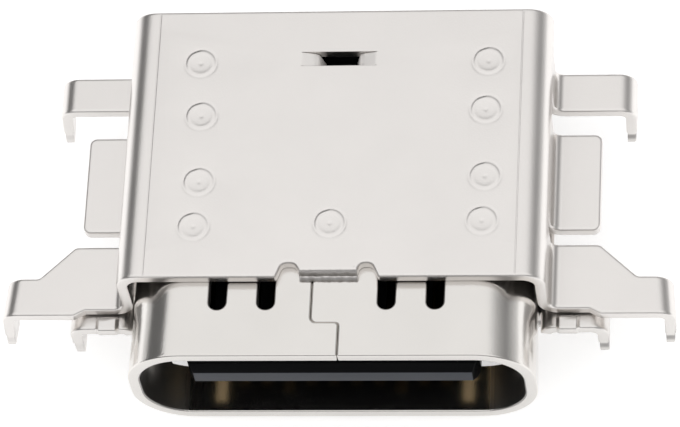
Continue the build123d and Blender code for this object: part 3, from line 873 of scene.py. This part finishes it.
def easeEdges(piece, width):
    weld = piece.modifiers.new("joinFaces", "WELD")
    weld.merge_threshold = 1e-7
    ease = piece.modifiers.new("easedEdges", "BEVEL")
    ease.width = width * mm
    ease.segments = 2
    ease.limit_method = "ANGLE"
    ease.angle_limit = radians(35)
    ease.harden_normals = True


def dressNode(name, material, width):
    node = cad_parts[name]
    node.data.materials.clear()
    node.data.materials.append(material)
    node.data.shade_smooth()
    easeEdges(node, width)


for node in sorted(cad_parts):
    if "_contact_" in node and not node.endswith("carrier"):
        # The two outermost lower contacts get the gold painted lit, the others the gold with painted shade in
        # the mouth
        outermost = node in ("lower_contact_01", "lower_contact_12")
        dressNode(node, paintedLitGold if outermost else mouthShadedGold, 0.02)
    elif node.endswith("plate"):
        dressNode(node, innerMetal, 0.02)
    elif node.endswith("carrier"):
        dressNode(node, moulding, 0.02)
    elif node == "housing":
        dressNode(node, moulding, 0.025)
print("inner pieces dressed")


# Floor, walls of the studio that only the metal's gloss sees, and the light

studio = {
    "floor": -1.815, "floorSize": 900,
    "worldLevel": 1.0, "floorColour": 0.80, "floorGlow": 0.45,
    "curtainRadius": 70, "curtainTop": 104, "curtainFoot": -1.5, "curtainTurns": 96,
    "sideBlend": 0.5, "frontBlend": (-0.5, -0.9),
}
# Brightness of the curtain by height, as a share of its top, on three sides
curtainTones = {
    "left": [(0.0, 0.75), (0.08, 0.70), (0.14, 0.14), (0.54, 0.14), (0.60, 1.0)],
    "right": [(0.0, 0.80), (0.12, 0.55), (0.30, 0.24), (0.58, 0.50), (0.89, 1.0)],
    "front": [(0.0, 0.30), (0.40, 0.30), (0.70, 1.0)],
}


# 1 for what the camera sees, straight, in a gloss or through glass
def rayKind(nodes, links):
    path = nodes.new("ShaderNodeLightPath").outputs
    seen = combine(nodes, links, "MAXIMUM", path["Is Camera Ray"], path["Is Glossy Ray"])
    return combine(nodes, links, "MAXIMUM", seen, path["Is Transmission Ray"])


def makeWorld(spec):
    world = bpy.data.worlds.new("studioLight")
    bpy.context.scene.world = world
    world.use_nodes = True
    light = world.node_tree.nodes["Background"]
    light.inputs["Color"].default_value = (1.0, 1.0, 1.0, 1)
    light.inputs["Strength"].default_value = spec["worldLevel"]


def makeFloor(spec):
    half = spec["floorSize"] * mm / 2
    level = spec["floor"] * mm
    corners = [(x * half, y * half, level) for x, y in ((-1, -1), (1, -1), (1, 1), (-1, 1))]
    data = bpy.data.meshes.new("floor")
    data.from_pydata(corners, [], [(0, 1, 2, 3)])
    floor = bpy.data.objects.new("floor", data)
    bpy.context.scene.collection.objects.link(floor)
    material, nodes, links, shader = newMaterial("paleFloor")
    shader.inputs["Base Color"].default_value = (spec["floorColour"],) * 3 + (1,)
    shader.inputs["Roughness"].default_value = 0.9
    shader.inputs["Specular IOR Level"].default_value = 0.0
    shader.inputs["Emission Color"].default_value = (1, 1, 1, 1)
    glow = combine(nodes, links, "MULTIPLY", rayKind(nodes, links), spec["floorGlow"])
    links.new(glow, shader.inputs["Emission Strength"])
    data.materials.append(material)


# A ring of grey cloth round the table, seen only in the metal's gloss
def makeCurtain(spec, tones):
    radius, foot, top = (spec[key] * mm for key in ("curtainRadius", "curtainFoot", "curtainTop"))
    turns = spec["curtainTurns"]
    points, faces = [], []
    for k in range(turns):
        angle = 2 * pi * k / turns
        points += [(radius * cos(angle), radius * sin(angle), level) for level in (foot, top)]
        j = (k + 1) % turns
        faces.append((2 * k, 2 * j, 2 * j + 1, 2 * k + 1))
    data = bpy.data.meshes.new("curtain")
    data.from_pydata(points, [], faces)
    curtain = bpy.data.objects.new("curtain", data)
    bpy.context.scene.collection.objects.link(curtain)
    material = bpy.data.materials.new("greyCloth")
    material.use_nodes = True
    nodes, links = material.node_tree.nodes, material.node_tree.links
    nodes.clear()
    out = nodes.new("ShaderNodeOutputMaterial")
    glow = nodes.new("ShaderNodeEmission")
    at = splitAxes(nodes, links, onObject(nodes))
    height = mapRange(nodes, links, at["Z"], 0, top, 0, 1)
    ramps = {}
    for name, steps in tones.items():
        ramp = nodes.new("ShaderNodeValToRGB")
        for index, (position, level) in enumerate(steps):
            stop = ramp.color_ramp.elements[index] if index < 2 else ramp.color_ramp.elements.new(position)
            stop.position = position
            stop.color = (level, level, level, 1)
        links.new(height, ramp.inputs["Fac"])
        ramps[name] = ramp.outputs["Color"]
    reach = spec["sideBlend"] * radius
    toRight = mapRange(nodes, links, at["X"], -reach, reach, 0, 1)
    toFront = mapRange(nodes, links, at["Y"], *[share * radius for share in spec["frontBlend"]], 0, 1)
    across = blend(nodes, links, toRight, ramps["left"], ramps["right"])
    links.new(blend(nodes, links, toFront, across, ramps["front"]), glow.inputs["Color"])
    links.new(glow.outputs[0], out.inputs["Surface"])
    data.materials.append(material)
    curtain.visible_camera = False
    curtain.visible_diffuse = False
    curtain.visible_shadow = False
    curtain.visible_transmission = False


makeWorld(studio)
makeFloor(studio)
makeCurtain(studio, curtainTones)
bpy.context.scene.view_settings.view_transform = "Standard"
print("studio set")
